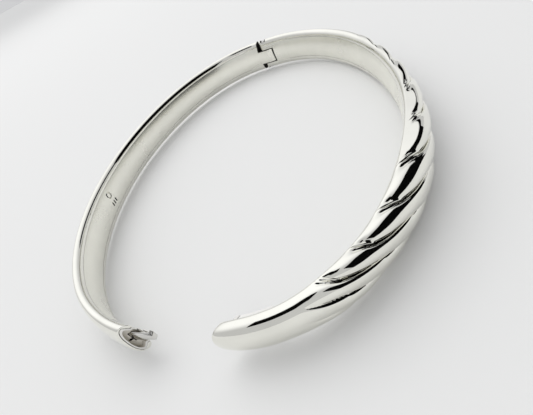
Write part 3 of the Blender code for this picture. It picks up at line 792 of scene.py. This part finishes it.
def add_hinge():
    """The tab, the fork and the pin."""
    upright = Vector((0.0, 0.0, 1.0))
    beyond = 2 * KNUCKLE_RADIUS
    wide = PLAIN_WIDTH
    bore = PIN_RADIUS + PIN_CLEARANCE
    tab = add_hinge_block("hinge_tab_fine", 1, TAB_REACH, PLAIN_PLACE)
    settle(tab, HINGE_METAL, "plain_half", "hinge_fittings", "hinge_tab")
    # The cut faces of the reliefs and the bore are lined with painted shade.
    cut(tab, PAINTED_SHADE_METAL,
        add_band_box("upper_relief", -beyond, SHOULDER, TAB_TOP, wide, PLAIN_PLACE, SHOULDER_LEAN),
        add_band_box("lower_relief", -beyond, SHOULDER, -wide, TAB_BOTTOM, PLAIN_PLACE, SHOULDER_LEAN),
        add_rod("tab_bore", PIVOT, upright, bore, wide, PLAIN_PLACE))
    finish_faces(tab, 1)
    soften_edges(tab, TAB_ROUNDING, BLOCK_EDGE_ANGLE)

    fork = add_hinge_block("hinge_fork_fine", -1, KNUCKLE_RADIUS, TWIST_PLACE)
    settle(fork, HINGE_METAL, "twisted_half", "hinge_fittings", "hinge_fork")
    notch_low = TAB_BOTTOM - HINGE_SIDE_CLEARANCE
    notch_high = TAB_TOP + HINGE_SIDE_CLEARANCE
    top = Vector((0.0, 0.0, PIN_HALF_LENGTH + wide / 2))
    recess = wide / 2 + PIN_RECESS
    # The cut faces of the notch, the bore and the pin-head recesses are lined with painted shade.
    cut(fork, PAINTED_SHADE_METAL,
        add_band_box("fork_notch", -NOTCH_END, beyond, notch_low, notch_high, TWIST_PLACE),
        add_rod("fork_bore", PIVOT, upright, bore, wide, TWIST_PLACE),
        add_rod("upper_recess", PIVOT + top, upright, PIN_HEAD_RADIUS, recess, TWIST_PLACE),
        add_rod("lower_recess", PIVOT - top, upright, PIN_HEAD_RADIUS, recess, TWIST_PLACE))
    finish_faces(fork, -1)
    soften_edges(fork, FORK_ROUNDING, BLOCK_EDGE_ANGLE)

    pin = add_rod("hinge_pin_fine", PIVOT, upright, PIN_RADIUS, PIN_HALF_LENGTH, TWIST_PLACE)
    soften_edges(pin, PIN_ROUNDING)
    settle(pin, PIN_METAL, "twisted_half", "pin_steel", "hinge_pin")


# The clasp.

def add_tongue():
    """The folded strip of the tongue and the spring leaf on its inner side."""
    bottom = -TONGUE_HALF_THICKNESS
    top = TONGUE_HALF_THICKNESS
    fold_start = TONGUE_REACH - FOLD_LENGTH
    outline = [(-TONGUE_ROOT, top), (TONGUE_REACH, top), (TONGUE_REACH, -FOLD_TOP),
               (fold_start, -FOLD_TOP), (fold_start, bottom), (-TONGUE_ROOT, bottom)]
    tongue = add_prism("clasp_tongue_fine", outline, -TONGUE_HALF_WIDTH, TONGUE_HALF_WIDTH, PLAIN_PLACE,
                       TONGUE_END_SCALE)
    soften_edges(tongue, TONGUE_ROUNDING)
    settle(tongue, SPRING_METAL, "plain_half", "spring_steel", "clasp_tongue")

    root = fold_start - 2 * GAP
    free = root - LEAF_LENGTH
    outline = [(root, -LEAF_LOW), (root, -LEAF_LOW - LEAF_THICKNESS),
               (free, -LEAF_LOW - LEAF_RISE - LEAF_THICKNESS), (free, -LEAF_LOW - LEAF_RISE)]
    leaf = add_prism("clasp_leaf_fine", outline, -LEAF_HALF_WIDTH, LEAF_HALF_WIDTH, PLAIN_PLACE)
    soften_edges(leaf, LEAF_ROUNDING)
    settle(leaf, SPRING_METAL, "spring_leaf", "spring_steel", "clasp_spring_leaf")


def add_end_plug():
    """The block that closes the plain half: a thin rim round a recess that holds the tongue's root."""
    end = PLAIN_LENGTH - END_RECESS
    distances = np.linspace(end - PLUG_LENGTH, PLAIN_LENGTH, PLUG_STEPS)
    plug = add_swept("clasp_end_plug_fine", distances, plug_section(distances, 1.0), PLAIN_PLACE)
    settle(plug, CLASP_METAL, "plain_half", "clasp_fittings", "clasp_end_plug")

    distances = np.linspace(end, PLAIN_LENGTH + END_RECESS, CUTTER_STEPS)
    pocket = add_swept("plug_pocket", distances, plug_section(distances, PLUG_POCKET_SCALE), PLAIN_PLACE)
    root = -TONGUE_ROOT - GAP
    side = TONGUE_HALF_THICKNESS + GAP
    outline = [(root, -side), (TONGUE_ROOT, -side), (TONGUE_ROOT, side), (root, side)]
    half_width = TONGUE_HALF_WIDTH + GAP
    slot = add_prism("plug_slot", outline, -half_width, half_width, PLAIN_PLACE)
    cut(plug, RECESS_METAL, pocket, slot)

    place = band_point(end, VENT_OUTWARD, VENT_HEIGHT)
    vent = add_rod("plug_vent", place, TONGUE_DIRECTION, VENT_RADIUS, 2 * END_RECESS, PLAIN_PLACE)
    # The vent hole is lined with painted shade.
    cut(plug, PAINTED_SHADE_METAL, vent)
    soften_edges(plug, PLUG_ROUNDING)


def paint_socket():
    """The box and the catch inside the tip keep their CAD shapes and only get their metal."""
    for node, metal in (("socket_box", CLASP_METAL), ("socket_catch", SPRING_METAL)):
        materials = frame["nodes"][node].data.materials
        materials.clear()
        materials.append(metal)


add_band()
add_hinge()
add_tongue()
add_end_plug()
paint_socket()


# The floor, the light and the camera.

def add_floor():
    """A plain pale floor."""
    bpy.ops.mesh.primitive_plane_add(size=4.0, location=(0.0, 0.0, 0.0))
    floor = bpy.context.object
    floor.name = "floor"
    material = bpy.data.materials.new("pale_floor")
    material.use_nodes = True
    shader = material.node_tree.nodes["Principled BSDF"]
    shader.inputs["Base Color"].default_value = (0.80, 0.80, 0.79, 1.0)
    shader.inputs["Roughness"].default_value = 0.9
    floor.data.materials.append(material)


def add_camera():
    """The camera, close to the bangle, looking over the clasp at the hinge."""
    camera = bpy.data.cameras.new("camera")
    camera.lens = CAMERA_LENS
    camera.sensor_width = CAMERA_SENSOR
    camera.clip_start = 0.002
    axes = (Vector(CAMERA_RIGHT), -Vector(CAMERA_DOWN), -Vector(CAMERA_FORWARD))
    turn = Matrix(axes).transposed().to_4x4()
    piece = bpy.data.objects.new("camera", camera)
    piece.matrix_world = PLAIN_PLACE @ Matrix.Translation(CAMERA_PLACE) @ turn
    bpy.context.collection.objects.link(piece)
    bpy.context.scene.camera = piece


def add_area_light(name, place, target, size, power):
    """A soft square light aimed at a point. The metal doesn't mirror it."""
    light = bpy.data.lights.new(name, "AREA")
    light.size = size
    light.energy = power
    lamp = bpy.data.objects.new(name, light)
    lamp.location = place
    lamp.visible_glossy = False
    lamp.rotation_euler = (Vector(target) - Vector(place)).to_track_quat("-Z", "Y").to_euler()
    bpy.context.collection.objects.link(lamp)


def add_dark_card(name, azimuth, elevation, distance, width, height):
    """A dark card that only the metal sees, in a direction in degrees from the bangle."""
    azimuth = math.radians(azimuth)
    elevation = math.radians(elevation)
    place = Vector((math.cos(azimuth) * math.cos(elevation), math.sin(azimuth) * math.cos(elevation),
                    math.sin(elevation))) * distance
    bpy.ops.mesh.primitive_plane_add(size=1.0, location=place)
    card = bpy.context.object
    card.name = name
    card.scale = (width, height, 1.0)
    card.rotation_euler = (-place).to_track_quat("Z", "Y").to_euler()
    card.data.materials.append(card_paint(name))
    card.visible_camera = False
    card.visible_diffuse = False
    card.visible_shadow = False


def card_paint(name):
    """Flat black paint for a card."""
    material = bpy.data.materials.new(name)
    material.use_nodes = True
    shader = material.node_tree.nodes["Principled BSDF"]
    shader.inputs["Base Color"].default_value = (CARD_SHADE, CARD_SHADE, CARD_SHADE, 1.0)
    shader.inputs["Roughness"].default_value = 1.0
    shader.inputs["Specular IOR Level"].default_value = 0.0
    return material


def add_world():
    """A soft pale surround that brightens smoothly towards a high window behind the hinge."""
    world = bpy.data.worlds.new("studio")
    world.use_nodes = True
    nodes = world.node_tree.nodes
    links = world.node_tree.links
    direction = nodes.new("ShaderNodeTexCoord")
    facing = nodes.new("ShaderNodeVectorMath")
    facing.operation = "DOT_PRODUCT"
    facing.inputs[1].default_value = WINDOW_DIRECTION
    links.new(direction.outputs["Generated"], facing.inputs[0])
    glow = nodes.new("ShaderNodeMapRange")
    glow.interpolation_type = "SMOOTHSTEP"
    glow.inputs["From Min"].default_value = WINDOW_EDGE[0]
    glow.inputs["From Max"].default_value = WINDOW_EDGE[1]
    glow.inputs["To Min"].default_value = SURROUND_STRENGTHS[0]
    glow.inputs["To Max"].default_value = SURROUND_STRENGTHS[1]
    links.new(facing.outputs["Value"], glow.inputs["Value"])
    background = nodes["Background"]
    background.inputs["Color"].default_value = (0.98, 0.985, 1.0, 1.0)
    links.new(glow.outputs["Result"], background.inputs["Strength"])
    bpy.context.scene.world = world


add_floor()
add_camera()
add_world()
add_area_light("key_softbox", (0.19, 0.23, 0.52), (0.0, 0.0, 0.0), 0.55, 1.05)
add_dark_card("side_card", -90, 24, 0.25, 0.48, 0.28)
add_dark_card("corner_card", -27, 19, 0.25, 0.18, 0.06)
add_dark_card("front_card", 180, 52, 0.30, 0.16, 0.14)
bpy.context.scene.view_settings.view_transform = "Standard"
